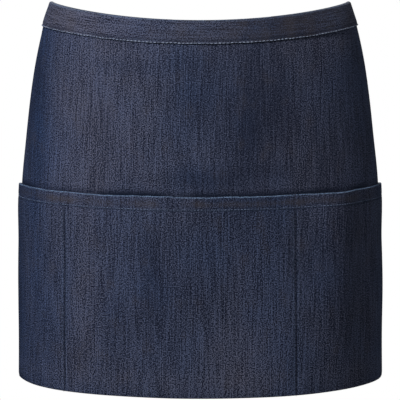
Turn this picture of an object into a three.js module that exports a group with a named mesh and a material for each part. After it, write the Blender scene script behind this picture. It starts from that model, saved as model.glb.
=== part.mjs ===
// Short waist apron in denim with three pockets, in the form it takes when it is worn.
// Millimetres, +Z up, the front faces -Y. The origin is the middle of the waist, level
// with the middle of the waistband at the front. Nothing fills the waist.
import * as THREE from 'three';

// The cut cloth
const APRON_WIDTH = 660;          // side edge to side edge, laid flat
const APRON_LENGTH = 337;         // top of the waistband to the lower edge
const BAND_HEIGHT = 22;           // waistband, a strip folded over the top of the body cloth
const POCKET_DEPTH = 174;         // pocket mouth to the lower edge
const CENTRE_POCKET_WIDTH = 212;  // between the two upright pocket seams
const CLOTH = 1.0;                // one layer of denim
const LAY = 0.3;                  // clearance between layers that lie on each other
const MOUTH_HEM = 11;             // turned hem along the pocket mouth
const SIDE_HEM = 9;               // turned hem along each side edge
const CORNER_RADIUS = 6;          // lower corners, rounded where they are turned out
const SEAM_TURN = 4;              // how soon the pocket cloth rises beside a seam
const SEAM_PUFF = 0.4;            // how far it rises there

// How it is worn
const HIP_BREADTH = 323;          // breadth of the worn form at the hips
const HIP_DEPTH = 234;            // its depth at the hips, front to back
const FRONT_DIP = 17.2;           // how far the top edge is lower in front than at the sides
const TURN = -20.5;               // the apron sits this far round the waist, along the cloth
const POCKET_SLACK = 7.5;         // how far a pocket mouth stands open
const FOLD_DEPTH = 4.8;           // the deepest of the soft folds

// Ties, tied behind in a bow
const TIE_WIDTH = 20;
const TIE_THICKNESS = 2.2;        // a strip folded in and stitched flat
const KNOT_WIDTH = 26;
const KNOT_HEIGHT = 25;
const KNOT_DEPTH = 17;
const KNOT_DROP = 15;             // the knot's middle below the top of the waistband
const KNOT_SQUARENESS = 0.62;     // 1 is a ball, less is squarer
const LOOP_LENGTH = 86;           // a loop of the bow, knot to bend
const LOOP_SPREAD = 17;           // how far a loop stands open
const LOOP_DROOP = 0.45;          // radians that a loop hangs below level
const TAIL_LENGTH = 185;
const TAIL_SPLAY = 0.13;          // radians between a tail and the upright
const TAIL_WAVE = 3.5;            // how far a tail swings in and out
const TAIL_TURNS = 5;             // radians of that swing along it

// How finely the curved cloth is divided
const COLUMN_STEP = 13;
const BODY_ROWS = 8;
const POCKET_ROWS = 8;
const SECTION_STEPS = 240;
const TIE_STATIONS = 6;
const LOOP_STATIONS = 22;
const TAIL_STATIONS = 14;
const KNOT_STEPS = [16, 10];

const HALF_WIDTH = APRON_WIDTH / 2;
const SEAM_AT = CENTRE_POCKET_WIDTH / 2;
const MOUTH_AT = APRON_LENGTH - POCKET_DEPTH;

// The worn form from the top of the waistband (drop 0) to the lower edge (drop 1).
// Breadth and depth are shares of the hip sizes, dip is a share of FRONT_DIP, and round
// says how much the lower lines follow an ellipse tilted forward rather than a saddle.
const FORM = [
  { drop: 0.0, breadth: 0.823, depth: 0.865, dip: 1.0, round: 0.4 },
  { drop: 0.065, breadth: 0.867, depth: 0.888, dip: 0.96, round: 0.42 },
  { drop: 0.16, breadth: 0.91, depth: 0.925, dip: 0.88, round: 0.5 },
  { drop: 0.265, breadth: 0.942, depth: 0.952, dip: 0.78, round: 0.6 },
  { drop: 0.372, breadth: 0.965, depth: 0.972, dip: 0.67, round: 0.7 },
  { drop: 0.485, breadth: 0.986, depth: 0.986, dip: 0.6, round: 0.8 },
  { drop: 0.64, breadth: 0.995, depth: 0.995, dip: 0.66, round: 0.9 },
  { drop: 0.747, breadth: 1.0, depth: 1.0, dip: 0.72, round: 0.95 },
  { drop: 0.88, breadth: 0.996, depth: 1.0, dip: 0.8, round: 1.0 },
  { drop: 1.0, breadth: 0.997, depth: 1.0, dip: 0.85, round: 1.0 },
];

// Soft folds. Along and wide are shares of the flat width. A fold grows over the shares of
// the length from and to, and deep is a share of FOLD_DEPTH, below zero for a hollow.
const FOLDS = [
  { name: 'left hip hollow', along: -0.262, wide: 0.06, from: 0.1, to: 1.1, deep: -0.27 },
  { name: 'left front ridge', along: -0.165, wide: 0.055, from: 0.3, to: 1.1, deep: 0.23 },
  { name: 'left lap hollow', along: -0.061, wide: 0.068, from: 0.55, to: 0.92, deep: -0.54 },
  { name: 'lap ridge', along: 0.152, wide: 0.085, from: 0.45, to: 0.9, deep: 0.62 },
  { name: 'right lap hollow', along: 0.282, wide: 0.06, from: 0.35, to: 1.1, deep: -0.21 },
  { name: 'belly ridge', along: -0.03, wide: 0.106, from: 0.7, to: 0.1, deep: 1.0 },
  { name: 'left wing ridge', along: -0.41, wide: 0.05, from: 0.25, to: 1.2, deep: 0.5 },
  { name: 'left wing hollow', along: -0.465, wide: 0.04, from: 0.3, to: 1.2, deep: -0.35 },
  { name: 'right wing ridge', along: 0.405, wide: 0.055, from: 0.25, to: 1.2, deep: 0.5 },
  { name: 'right wing hollow', along: 0.468, wide: 0.04, from: 0.3, to: 1.2, deep: -0.35 },
];

// Where each pocket mouth stands open. Along and wide are shares of the flat width.
const MOUTHS = [
  { name: 'left pocket', along: -0.39, wide: 0.078 },
  { name: 'centre pocket', along: 0, wide: 0.15 },
  { name: 'right pocket', along: 0.225, wide: 0.055 },
];

// A value of one column of the form's table, eased between its rows.
function formValue(key, drop) {
  const last = FORM.length - 1;
  let row = 0;
  while (row < last - 1 && drop > FORM[row + 1].drop) row += 1;
  const at = (i) => FORM[Math.min(Math.max(i, 0), last)];
  const span = at(row + 1).drop - at(row).drop;
  const t = THREE.MathUtils.clamp((drop - at(row).drop) / span, 0, 1);
  const slope = (i) => {
    const reach = at(i + 1).drop - at(i - 1).drop;
    return ((at(i + 1)[key] - at(i - 1)[key]) / reach) * span;
  };
  const rise = at(row + 1)[key] - at(row)[key];
  const start = slope(row);
  const end = slope(row + 1);
  const bend = (3 - 2 * t) * t * t * rise + t * (1 - t) * (1 - t) * start;
  return at(row)[key] + bend - t * t * (1 - t) * end;
}

// The horizontal section of the form at one height: an ellipse that is walked by length.
const sections = new Map();
function sectionAt(down) {
  const key = Math.round(down * 100);
  if (!sections.has(key)) {
    const drop = down / APRON_LENGTH;
    const halfBreadth = (HIP_BREADTH / 2) * formValue('breadth', drop);
    const halfDepth = (HIP_DEPTH / 2) * formValue('depth', drop);
    const walked = [0];
    for (let i = 1; i <= SECTION_STEPS; i += 1) {
      const angle = ((i - 0.5) / SECTION_STEPS) * Math.PI;
      const pace = Math.hypot(halfBreadth * Math.cos(angle), halfDepth * Math.sin(angle));
      walked.push(walked[i - 1] + (pace * Math.PI) / SECTION_STEPS);
    }
    sections.set(key, { halfBreadth, halfDepth, walked });
  }
  return sections.get(key);
}

// The angle round the form, 0 at the front, after a length walked from the front.
function angleAfter(length, section) {
  const { walked } = section;
  const far = Math.min(Math.abs(length), walked[SECTION_STEPS]);
  let i = 1;
  while (i < SECTION_STEPS && walked[i] < far) i += 1;
  const share = (far - walked[i - 1]) / (walked[i] - walked[i - 1]);
  return (Math.sign(length) * (i - 1 + share) * Math.PI) / SECTION_STEPS;
}

function easeInOut(t) {
  const x = THREE.MathUtils.clamp(t, 0, 1);
  return x * x * (3 - 2 * x);
}

// A smooth hump that is 1 in the middle and 0 at the given reach to each side.
function hump(distance, reach) {
  const x = Math.min(Math.abs(distance) / reach, 1);
  return Math.cos((x * Math.PI) / 2) ** 2;
}

function foldAt(along, down) {
  let sum = 0;
  for (const fold of FOLDS) {
    const across = hump(along - fold.along * APRON_WIDTH, fold.wide * APRON_WIDTH);
    const grow = (down / APRON_LENGTH - fold.from) / (fold.to - fold.from);
    sum += across * easeInOut(grow) * fold.deep * FOLD_DEPTH;
  }
  return sum;
}

// How much lower the cloth is at this angle than at the sides.
const SIDE_ROUNDING = 0.06;
function dipAt(angle, drop) {
  const facing = Math.cos(angle);
  const round = formValue('round', drop);
  const tilted = Math.hypot(facing, SIDE_ROUNDING) - SIDE_ROUNDING;
  return FRONT_DIP * formValue('dip', drop) * (round * tilted + (1 - round) * facing * facing);
}

const FRONT_EDGE_Z = BAND_HEIGHT / 2;
const SIDE_EDGE_Z = FRONT_EDGE_Z + dipAt(0, 0);

// The waistband is a straight strip, so its ends stay upright where the form flares. The
// cloth below it takes up the difference, towards the side edges.
const EASE_BELOW = 80;
function heldBack(along, down) {
  const lengthAt = (level) => sectionAt(level).walked[SECTION_STEPS];
  const flare = lengthAt(Math.min(down, BAND_HEIGHT)) - lengthAt(BAND_HEIGHT / 2);
  const below = 1 - easeInOut((down - BAND_HEIGHT) / EASE_BELOW);
  const outwards = easeInOut((2 * Math.abs(along)) / HALF_WIDTH - 1);
  return Math.sign(along) * flare * below * outwards;
}

// The point of the cloth at a length along it from its own middle, a length down from
// the top of the waistband, and a height off the form.
function onForm(along, down, off) {
  const section = sectionAt(down);
  const angle = angleAfter(along + TURN + heldBack(along, down), section);
  const out = new THREE.Vector2(
    Math.sin(angle) / section.halfBreadth,
    -Math.cos(angle) / section.halfDepth,
  ).normalize();
  const lift = off + foldAt(along, down);
  return new THREE.Vector3(
    section.halfBreadth * Math.sin(angle) + out.x * lift,
    -section.halfDepth * Math.cos(angle) + out.y * lift,
    SIDE_EDGE_Z - down - dipAt(angle, down / APRON_LENGTH),
  );
}

// A closed solid through a row of rings, each with the same number of points. The flat
// outlines of the first and the last ring say how its two ends are closed.
function loftSolid(rings, firstOutline, lastOutline) {
  const count = rings[0].length;
  const positions = rings.flat().flatMap((p) => [p.x, p.y, p.z]);
  const faces = [];
  for (let i = 0; i < rings.length - 1; i += 1) {
    for (let j = 0; j < count; j += 1) {
      const a = i * count + j;
      const b = i * count + ((j + 1) % count);
      faces.push(a, a + count, b, b, a + count, b + count);
    }
  }
  const close = (outline, offset, far) => {
    const turned = THREE.ShapeUtils.isClockWise(outline) !== far;
    for (const [a, b, c] of THREE.ShapeUtils.triangulateShape(outline, [])) {
      const [p, q] = turned ? [c, b] : [b, c];
      faces.push(a + offset, p + offset, q + offset);
    }
  };
  close(firstOutline, 0, false);
  close(lastOutline, (rings.length - 1) * count, true);
  const geometry = new THREE.BufferGeometry();
  geometry.setAttribute('position', new THREE.Float32BufferAttribute(positions, 3));
  geometry.setIndex(faces);
  if (signedVolume(geometry) < 0) {
    geometry.setIndex(faces.reverse());
  }
  geometry.computeVertexNormals();
  return geometry;
}

function signedVolume(geometry) {
  const index = geometry.getIndex();
  const at = geometry.getAttribute('position');
  const corner = [0, 1, 2].map(() => new THREE.Vector3());
  let sum = 0;
  for (let i = 0; i < index.count; i += 3) {
    corner.forEach((p, k) => p.fromBufferAttribute(at, index.getX(i + k)));
    sum += corner[0].dot(corner[1].clone().cross(corner[2])) / 6;
  }
  return sum;
}

function evenly(from, to, count) {
  return Array.from({ length: count + 1 }, (_, i) => from + ((to - from) * i) / count);
}

// Places along the cloth where every layer has a column of points, so that layers which
// lie on each other bend at the same places.
const HEM_STEP = 0.6;
const CORNER_SHARE = 0.35;
function columns() {
  const inner = HALF_WIDTH - SIDE_HEM;
  const halves = Math.max(4, Math.round((inner - SEAM_AT) / COLUMN_STEP));
  const middle = Math.max(4, Math.round((2 * SEAM_AT) / COLUMN_STEP));
  const edge = [HALF_WIDTH, HALF_WIDTH - CORNER_RADIUS * CORNER_SHARE, inner + HEM_STEP];
  const side = evenly(inner, SEAM_AT, halves);
  const right = [...edge, ...side];
  const left = right.map((x) => -x);
  const centre = evenly(-SEAM_AT, SEAM_AT, middle).slice(1, -1);
  return [...left, ...centre, ...right.reverse()];
}
const COLUMNS = columns();

// The lower edge of the cloth, which rounds up at the two corners.
function lowerEdge(along) {
  const aside = CORNER_RADIUS - Math.min(HALF_WIDTH - Math.abs(along), CORNER_RADIUS);
  return APRON_LENGTH - CORNER_RADIUS + Math.sqrt(CORNER_RADIUS ** 2 - aside ** 2);
}

// A sheet of cloth, one column of points after another. Each row gives how far down it
// is, and the sheet's outer and inner face are heights off the form.
function sheet(places, rowsAt, outerAt, innerAt) {
  const outline = (along) => {
    const rows = rowsAt(along);
    const outer = rows.map((down) => new THREE.Vector2(outerAt(along, down), down));
    const inner = rows.map((down) => new THREE.Vector2(innerAt(along, down), down));
    return [...outer, ...inner.reverse()];
  };
  return loftOnForm(places, outline);
}

function loftOnForm(places, outlineAt) {
  const outlines = places.map(outlineAt);
  const rings = places.map((along, i) => outlines[i].map((p) => onForm(along, p.y, p.x)));
  return loftSolid(rings, outlines[0], outlines.at(-1));
}

// Body cloth: hangs from inside the waistband, with a turned hem down each side edge.
const BAND_FOLD = CLOTH + LAY;
const BODY_TOP = BAND_FOLD + LAY;
function makeBody() {
  const rowsAt = (along) => [
    BODY_TOP,
    BAND_HEIGHT + LAY,
    ...evenly(BAND_HEIGHT + LAY + CLOTH, MOUTH_AT, BODY_ROWS),
    ...pocketRows(along),
  ];
  const innerAt = (along, down) => {
    const hemmed = Math.abs(along) > HALF_WIDTH - SIDE_HEM && down > BAND_HEIGHT + LAY;
    return hemmed ? -CLOTH : 0;
  };
  return sheet(COLUMNS, rowsAt, () => CLOTH, innerAt);
}

function pocketRows(along) {
  const end = lowerEdge(along);
  const hemEnd = MOUTH_AT + MOUTH_HEM;
  const last = end - CLOTH - LAY;
  return [hemEnd, hemEnd + CLOTH, ...evenly(hemEnd + CLOTH, last, POCKET_ROWS).slice(1), end];
}

// Pocket cloth: one panel over the lower body cloth, sewn to it round three sides and
// down two upright seams, with a hem turned inside along the mouth. It stands open most
// at the mouth and lies down on the body cloth towards the lower edge.
const SLACK_POWER = 2.2;
const HEM_SETTLES = 43;
function pocketOuter(along, down) {
  const depth = down - MOUTH_AT;
  const hemLayer = (CLOTH + LAY) * (1 - easeInOut((depth - MOUTH_HEM) / HEM_SETTLES));
  const fullness = 1 - THREE.MathUtils.clamp(depth / POCKET_DEPTH, 0, 1) ** SLACK_POWER;
  let slack = 0;
  for (const mouth of MOUTHS) {
    slack += hump(along - mouth.along * APRON_WIDTH, mouth.wide * APRON_WIDTH);
  }
  const toEdge = Math.min(HALF_WIDTH - Math.abs(along), APRON_LENGTH - down);
  const toSeam = Math.abs(Math.abs(along) - SEAM_AT);
  const puff = easeInOut(toEdge / SEAM_TURN) * easeInOut(toSeam / (2 * SEAM_TURN)) * SEAM_PUFF;
  return 2 * CLOTH + LAY + hemLayer + puff + slack * fullness * POCKET_SLACK;
}

function makePocket() {
  const rowsAt = (along) => [MOUTH_AT, ...pocketRows(along)];
  const innerAt = (along, down) => {
    const hemmed = down <= MOUTH_AT + MOUTH_HEM;
    return pocketOuter(along, down) - (hemmed ? 2 * CLOTH : CLOTH);
  };
  return sheet(COLUMNS, rowsAt, pocketOuter, innerAt);
}

// Waistband: a strip folded over the top of the body cloth, open below like an
// upturned gutter.
const BAND_OUTER = 2 * CLOTH + LAY;
const BAND_INNER = -LAY - CLOTH;
const BAND_OVERRUN = 1.5;
const FOLD_SHOULDER = 0.3;
function makeWaistband() {
  const middle = (BAND_OUTER + BAND_INNER) / 2;
  const outline = () => [
    new THREE.Vector2(BAND_OUTER, BAND_HEIGHT),
    new THREE.Vector2(BAND_OUTER, BAND_FOLD),
    new THREE.Vector2((BAND_OUTER + middle) / 2, CLOTH * FOLD_SHOULDER),
    new THREE.Vector2(middle, 0),
    new THREE.Vector2((BAND_INNER + middle) / 2, CLOTH * FOLD_SHOULDER),
    new THREE.Vector2(BAND_INNER, BAND_FOLD),
    new THREE.Vector2(BAND_INNER, BAND_HEIGHT),
    new THREE.Vector2(-LAY, BAND_HEIGHT),
    new THREE.Vector2(-LAY, BAND_FOLD),
    new THREE.Vector2(CLOTH + LAY, BAND_FOLD),
    new THREE.Vector2(CLOTH + LAY, BAND_HEIGHT),
  ];
  const places = [-HALF_WIDTH - BAND_OVERRUN, ...COLUMNS, HALF_WIDTH + BAND_OVERRUN];
  return loftOnForm(places, outline);
}

// A flat strip along a path: each station has a place, the way across the strip and the
// way out of its face.
function strip(stations, width, thickness) {
  const ring = [
    [-0.5, -0.5],
    [0.5, -0.5],
    [0.5, 0.5],
    [-0.5, 0.5],
  ];
  const outline = ring.map(([x, y]) => new THREE.Vector2(x * width, y * thickness));
  const rings = stations.map(({ place, across, out }) =>
    outline.map((p) => place.clone().addScaledVector(across, p.x).addScaledVector(out, p.y)),
  );
  return loftSolid(rings, outline, outline);
}

const UP = new THREE.Vector3(0, 0, 1);

// The knot is behind the middle of the opening between the two side edges.
const knotSection = sectionAt(KNOT_DROP);
const knotAngle = Math.PI - Math.abs(TURN) / knotSection.halfBreadth;
const KNOT_BACK = new THREE.Vector3(
  knotSection.halfBreadth * Math.sin(knotAngle),
  -knotSection.halfDepth * Math.cos(knotAngle),
  SIDE_EDGE_Z - KNOT_DROP - dipAt(knotAngle, KNOT_DROP / APRON_LENGTH),
);
const KNOT_OUT = new THREE.Vector3(
  Math.sin(knotAngle) / knotSection.halfBreadth,
  -Math.cos(knotAngle) / knotSection.halfDepth,
  0,
).normalize();
const KNOT_SIDE = new THREE.Vector3().crossVectors(KNOT_OUT, UP);
const KNOT_MIDDLE = KNOT_BACK.clone().addScaledVector(KNOT_OUT, KNOT_DEPTH / 2);

// The tie runs on from the end of the waistband, round the back, to the knot's side.
const TIE_OFF = (BAND_OUTER + BAND_INNER) / 2;
const TIE_ENTERS = 0.4;
const BAND_END = 4;
function makeTie(side) {
  const start = HALF_WIDTH + BAND_OVERRUN + LAY;
  const from = onForm(side * start, BAND_HEIGHT / 2, TIE_OFF);
  const to = KNOT_BACK.clone()
    .addScaledVector(KNOT_SIDE, side * (KNOT_WIDTH / 2 + LAY))
    .addScaledVector(KNOT_OUT, KNOT_DEPTH * TIE_ENTERS);
  const lean = onForm(side * (start - BAND_END), BAND_HEIGHT / 2, TIE_OFF);
  const reach = from.distanceTo(to) / 3;
  const bend = from.clone().addScaledVector(from.clone().sub(lean).normalize(), reach);
  const arrive = to.clone().addScaledVector(KNOT_SIDE, side * reach);
  const path = new THREE.CubicBezierCurve3(from, bend, arrive, to);
  const bandEdge = onForm(side * start, BAND_HEIGHT, TIE_OFF);
  const bandUp = onForm(side * start, 0, TIE_OFF).sub(bandEdge).normalize();
  const stations = evenly(0, 1, TIE_STATIONS).map((t) => {
    const across = bandUp.clone().lerp(UP, t).normalize();
    const out = new THREE.Vector3().crossVectors(path.getTangent(t), across).normalize();
    return { place: path.getPoint(t), across, out };
  });
  return strip(stations, TIE_WIDTH, TIE_THICKNESS);
}

// One loop of the bow: the strip goes out from the knot, bends round and comes back. Its
// two legs lie one on the other in the knot, clear of the tie that enters beside them.
const LOOP_LIFT = 1.6 * TIE_THICKNESS;
const LEG_GAP = 0.75 * TIE_THICKNESS;
const LOOP_FULLNESS = 0.45;
const TANGENT_STEP = 0.002;
function makeLoop(side) {
  const way = KNOT_SIDE.clone()
    .multiplyScalar(side * Math.cos(LOOP_DROOP))
    .addScaledVector(UP, -Math.sin(LOOP_DROOP));
  const across = new THREE.Vector3().crossVectors(way, KNOT_OUT).normalize();
  const lean = (TIE_WIDTH / 2) * Math.sin(LOOP_DROOP);
  const root = KNOT_MIDDLE.clone()
    .addScaledVector(KNOT_SIDE, side * (KNOT_WIDTH / 2 + LAY + lean))
    .addScaledVector(KNOT_OUT, LOOP_LIFT);
  const at = (t) => {
    const turn = t * 2 * Math.PI;
    const reach = (LOOP_LENGTH / 2) * (1 - Math.cos(turn));
    const belly = Math.sin(turn) * (1 - LOOP_FULLNESS * Math.cos(turn));
    const legs = Math.sign(0.5 - t) * LEG_GAP * Math.cos(turn / 2) ** 2;
    const off = (LOOP_SPREAD / 2) * (belly + Math.sin(turn / 2) ** 2) + legs;
    return root.clone().addScaledVector(way, reach).addScaledVector(KNOT_OUT, off);
  };
  const stations = evenly(0, 1, LOOP_STATIONS).map((t) => {
    const ahead = at(Math.min(t + TANGENT_STEP, 1));
    const along = ahead.sub(at(Math.max(t - TANGENT_STEP, 0))).normalize();
    const out = new THREE.Vector3().crossVectors(along, across).normalize();
    return { place: at(t), across, out };
  });
  return strip(stations, TIE_WIDTH, TIE_THICKNESS);
}

// A tail of the bow hangs from under the knot. The two cross there, the right one
// outside the left one, and splay apart.
const TAIL_ASIDE = 0.2 * TIE_WIDTH;
const TAIL_LAYER = 0.7 * TIE_THICKNESS;
function makeTail(side) {
  const way = KNOT_SIDE.clone()
    .multiplyScalar(side * Math.sin(TAIL_SPLAY))
    .addScaledVector(UP, -Math.cos(TAIL_SPLAY));
  const root = KNOT_MIDDLE.clone()
    .addScaledVector(UP, -KNOT_HEIGHT / 2 - LAY)
    .addScaledVector(KNOT_SIDE, side * TAIL_ASIDE)
    .addScaledVector(KNOT_OUT, side * TAIL_LAYER);
  const across = new THREE.Vector3().crossVectors(KNOT_OUT, way).normalize();
  const stations = evenly(0, 1, TAIL_STATIONS).map((t) => {
    const swing = TAIL_WAVE * Math.sin(t * TAIL_TURNS);
    const lean = (TAIL_WAVE * TAIL_TURNS * Math.cos(t * TAIL_TURNS)) / TAIL_LENGTH;
    const place = root
      .clone()
      .addScaledVector(way, t * TAIL_LENGTH)
      .addScaledVector(KNOT_OUT, swing);
    const out = KNOT_OUT.clone().addScaledVector(way, -lean).normalize();
    return { place, across, out };
  });
  return strip(stations, TIE_WIDTH, TIE_THICKNESS);
}

// The knot: a full, soft-cornered lump of wrapped strip.
function makeKnot() {
  const geometry = new THREE.SphereGeometry(0.5, ...KNOT_STEPS);
  const at = geometry.getAttribute('position');
  const square = (value) => Math.sign(value) * Math.abs(value * 2) ** KNOT_SQUARENESS * 0.5;
  const point = new THREE.Vector3();
  for (let i = 0; i < at.count; i += 1) {
    point.fromBufferAttribute(at, i);
    const moved = new THREE.Vector3()
      .addScaledVector(KNOT_SIDE, square(point.x) * KNOT_WIDTH)
      .addScaledVector(KNOT_OUT, -square(point.z) * KNOT_DEPTH)
      .addScaledVector(UP, square(point.y) * KNOT_HEIGHT);
    at.setXYZ(i, moved.x, moved.y, moved.z);
  }
  return geometry;
}

function denim(color, roughness) {
  return new THREE.MeshStandardMaterial({ color, roughness, metalness: 0 });
}

function piece(name, geometry, material) {
  const mesh = new THREE.Mesh(geometry, material);
  mesh.name = name;
  return mesh;
}

const apron = new THREE.Group();
apron.add(piece('body_panel', makeBody(), denim(0x353a4e, 0.92)));
apron.add(piece('pocket_panel', makePocket(), denim(0x31364b, 0.92)));
apron.add(piece('waistband', makeWaistband(), denim(0x3a3f52, 0.9)));
apron.add(piece('tie_left', makeTie(-1), denim(0x3a3f52, 0.9)));
apron.add(piece('tie_right', makeTie(1), denim(0x3a3f52, 0.9)));

const bow = new THREE.Group();
const knot = piece('bow_knot', makeKnot(), denim(0x343a4e, 0.9));
knot.position.copy(KNOT_MIDDLE);
bow.add(knot);
bow.add(piece('bow_loop_left', makeLoop(-1), denim(0x3a3f52, 0.9)));
bow.add(piece('bow_loop_right', makeLoop(1), denim(0x3a3f52, 0.9)));
bow.add(piece('bow_tail_left', makeTail(-1), denim(0x3a3f52, 0.9)));
bow.add(piece('bow_tail_right', makeTail(1), denim(0x3a3f52, 0.9)));
apron.add(bow);

export default apron;
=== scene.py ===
import bmesh
import bpy
import numpy as np
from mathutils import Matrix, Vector


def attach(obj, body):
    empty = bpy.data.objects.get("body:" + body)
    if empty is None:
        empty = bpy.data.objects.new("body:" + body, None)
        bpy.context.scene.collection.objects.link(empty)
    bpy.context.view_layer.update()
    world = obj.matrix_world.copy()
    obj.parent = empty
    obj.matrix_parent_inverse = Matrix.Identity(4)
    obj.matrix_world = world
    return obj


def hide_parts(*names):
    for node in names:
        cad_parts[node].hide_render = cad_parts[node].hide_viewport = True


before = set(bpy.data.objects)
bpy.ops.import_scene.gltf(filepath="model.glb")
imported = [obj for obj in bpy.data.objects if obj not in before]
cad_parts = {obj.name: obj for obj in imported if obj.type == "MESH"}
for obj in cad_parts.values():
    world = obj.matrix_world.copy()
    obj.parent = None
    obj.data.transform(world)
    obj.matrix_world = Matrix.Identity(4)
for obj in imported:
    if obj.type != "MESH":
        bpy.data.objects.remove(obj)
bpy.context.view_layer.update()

# The form that the cloth lies on
# A waist and hips with nothing inside. Every piece of cloth is placed by how far
# along the cloth it is, how far down from its top edge, and how far off the form.

APRON_WIDTH = 0.660
APRON_LENGTH = 0.337
BAND_HEIGHT = 0.022
HIP_BREADTH = 0.323
HIP_DEPTH = 0.234
FRONT_DIP = 0.0172
TURN = -0.0205
FOLD_DEPTH = 0.0048
SIDE_ROUNDING = 0.06
EASE_BELOW = 0.080

# Share of the length, breadth, depth, dip of the level lines, and how round they are
DROP, BREADTH, DEPTH, DIP, ROUND = np.array(
    [
        (0.000, 0.823, 0.865, 1.00, 0.40),
        (0.065, 0.867, 0.888, 0.96, 0.42),
        (0.160, 0.910, 0.925, 0.88, 0.50),
        (0.265, 0.942, 0.952, 0.78, 0.60),
        (0.372, 0.965, 0.972, 0.67, 0.70),
        (0.485, 0.986, 0.986, 0.60, 0.80),
        (0.640, 0.995, 0.995, 0.66, 0.90),
        (0.747, 1.000, 1.000, 0.72, 0.95),
        (0.880, 0.996, 1.000, 0.80, 1.00),
        (1.000, 0.997, 1.000, 0.85, 1.00),
    ]
).T

# Soft folds: place and reach along the cloth as shares of its width, where they start
# and where they are full as shares of its length, and height as a share of FOLD_DEPTH
FOLDS = (
    (-0.262, 0.060, 0.10, 1.10, -0.27),
    (-0.165, 0.055, 0.30, 1.10, 0.23),
    (-0.061, 0.068, 0.55, 0.92, -0.54),
    (0.152, 0.085, 0.45, 0.90, 0.62),
    (0.282, 0.060, 0.35, 1.10, -0.21),
    (-0.030, 0.106, 0.70, 0.10, 1.00),
    (-0.410, 0.050, 0.25, 1.20, 0.50),
    (-0.465, 0.040, 0.30, 1.20, -0.35),
    (0.405, 0.055, 0.25, 1.20, 0.50),
    (0.468, 0.040, 0.30, 1.20, -0.35),
)


def ease(t):
    """A smooth step from 0 to 1."""
    x = np.clip(t, 0, 1)
    return x * x * (3 - 2 * x)


def table_value(column, drop):
    """A column of the form's table, eased between its rows."""
    last = len(DROP) - 1
    row = np.clip(np.searchsorted(DROP, drop) - 1, 0, last - 1)
    span = DROP[row + 1] - DROP[row]
    t = np.clip((drop - DROP[row]) / span, 0, 1)

    def slope(i):
        before, after = np.clip(i - 1, 0, last), np.clip(i + 1, 0, last)
        return (column[after] - column[before]) / (DROP[after] - DROP[before]) * span

    rise = column[row + 1] - column[row]
    eased = ease(t) * rise + t * (1 - t) ** 2 * slope(row)
    return column[row] + eased - t * t * (1 - t) * slope(row + 1)


def hump(distance, reach):
    """1 in the middle, falling smoothly to 0 at its reach on both sides."""
    return np.cos(np.clip(np.abs(distance) / reach, 0, 1) * np.pi / 2) ** 2


def dip_at(angle, drop):
    """How far a level line of the cloth hangs lower at an angle than at the sides."""
    facing = np.cos(angle)
    smooth = np.hypot(facing, SIDE_ROUNDING) - SIDE_ROUNDING
    share = table_value(ROUND, drop)
    level = share * smooth + (1 - share) * facing * facing
    return FRONT_DIP * table_value(DIP, drop) * level


# Angle round the form by height and by length walked from the front
WALK_STEPS = 480
WALK_ROWS = np.linspace(0, APRON_LENGTH, 169)
WALK_LENGTHS = np.linspace(0, 0.480, 481)
half_breadths = HIP_BREADTH / 2 * table_value(BREADTH, WALK_ROWS / APRON_LENGTH)
half_depths = HIP_DEPTH / 2 * table_value(DEPTH, WALK_ROWS / APRON_LENGTH)
angles = np.linspace(0, np.pi, WALK_STEPS + 1)
midway = angles[1:] - np.pi / (2 * WALK_STEPS)
paces = np.hypot(half_breadths[:, None] * np.cos(midway), half_depths[:, None] * np.sin(midway))
walked = np.pad(np.cumsum(paces, axis=1) * np.pi / WALK_STEPS, ((0, 0), (1, 0)))
walk_angles = np.array([np.interp(WALK_LENGTHS, row, angles) for row in walked])


def angle_after(length, down):
    """The angle round the form after a length walked from its front, at a height."""
    row = np.clip(down / WALK_ROWS[1], 0, len(WALK_ROWS) - 1.001)
    step = np.clip(np.abs(length) / WALK_LENGTHS[1], 0, len(WALK_LENGTHS) - 1.001)
    i, j = row.astype(int), step.astype(int)
    u, v = row - i, step - j
    upper = walk_angles[i, j] * (1 - v) + walk_angles[i, j + 1] * v
    lower = walk_angles[i + 1, j] * (1 - v) + walk_angles[i + 1, j + 1] * v
    return np.sign(length) * (upper * (1 - u) + lower * u)


def held_back(along, down):
    """Keeps the ends of the straight waistband upright where the form flares."""
    back = walked[:, -1]
    flare = np.interp(np.minimum(down, BAND_HEIGHT), WALK_ROWS, back) - np.interp(
        BAND_HEIGHT / 2, WALK_ROWS, back
    )
    below = 1 - ease((down - BAND_HEIGHT) / EASE_BELOW)
    outwards = ease(4 * np.abs(along) / APRON_WIDTH - 1)
    return np.sign(along) * flare * below * outwards


RIPPLE_KNOTS = 1024
BROAD_RELIEF = 0.0006
SLANTED_RELIEF = 0.00035


def ripple(length, spacing, seed):
    """A smooth uneven line between -1 and 1 along a length."""
    knots = np.random.default_rng(seed).uniform(-1, 1, RIPPLE_KNOTS)
    at = length / spacing + RIPPLE_KNOTS / 2
    i = np.floor(at).astype(int)
    t = ease(at - i)
    return knots[i % RIPPLE_KNOTS] * (1 - t) + knots[(i + 1) % RIPPLE_KNOTS] * t


def unevenness(along, down):
    """Faint undulation of soft cloth."""
    broad = ripple(along + 0.3 * down, 0.034, 11)
    broad = broad * ripple(down - 0.2 * along, 0.060, 12)
    slanted = ripple(0.8 * along + 0.6 * down, 0.023, 13)
    slanted = slanted * ripple(0.7 * down - 0.7 * along, 0.040, 14)
    return BROAD_RELIEF * broad + SLANTED_RELIEF * slanted


def fold_at(along, down):
    """How far the soft folds lift the cloth off the form."""
    height = np.zeros(np.broadcast(along, down).shape)
    for place, reach, start, end, deep in FOLDS:
        grow = ease((down / APRON_LENGTH - start) / (end - start))
        across = hump(along - place * APRON_WIDTH, reach * APRON_WIDTH)
        height += across * grow * deep * FOLD_DEPTH
    return height


SIDE_EDGE_Z = BAND_HEIGHT / 2 + dip_at(0.0, 0.0)


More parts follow.
